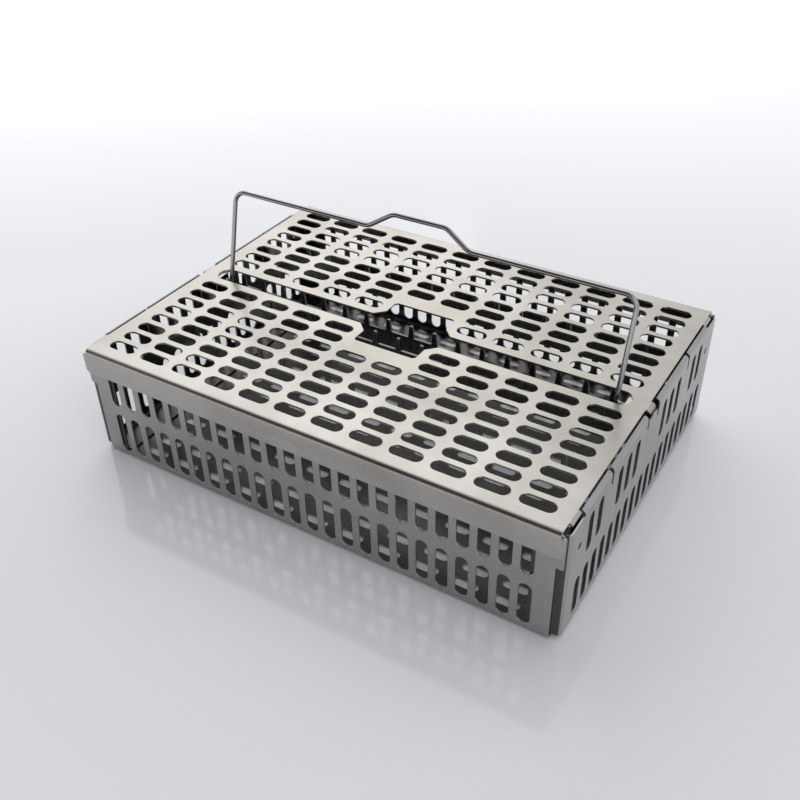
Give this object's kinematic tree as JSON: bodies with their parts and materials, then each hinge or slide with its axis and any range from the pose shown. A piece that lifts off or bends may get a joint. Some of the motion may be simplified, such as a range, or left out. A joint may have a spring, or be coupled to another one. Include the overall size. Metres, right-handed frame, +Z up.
{
  "type": "dental instrument cassette",
  "caption": "Low rectangular box of perforated folded sheet steel with a lift-off lid, comb racks inside and a wire bail handle that stands up through a slot in the lid.",
  "frame": {"origin": "middle of the underside, on the surface that the cassette stands on", "axes": "+X along the long side, +Y towards the side that the raised handle leans to, +Z up"},
  "size_m": [0.264, 0.192, 0.1194],
  "materials": {
    "wall_steel": "satin",
    "lid_steel": "satin",
    "rack_steel": "satin",
    "wire_steel": "polished",
    "spring_steel": "satin"
  },
  "bodies": {
    "tray": {"tray_shell": "wall_steel", "end_wall_left": "wall_steel", "end_wall_right": "wall_steel", "rack_front": "rack_steel", "rack_mid_front": "rack_steel", "rack_mid_rear": "rack_steel", "rack_rear": "rack_steel"},
    "lid": {"lid": "lid_steel", "handle_clip_left": "spring_steel", "handle_clip_right": "spring_steel"},
    "handle": {"handle": "wire_steel"}
  },
  "joints": [
    {"name": "lid_lift", "type": "slide", "parent": "tray", "child": "lid", "axis": [0, 0, 1], "range_m": [0, 0.08]},
    {"name": "handle_drop", "type": "slide", "parent": "lid", "child": "handle", "axis": [0, -0.2504, -0.9681], "range_m": [0, 0.0555]}
  ]
}
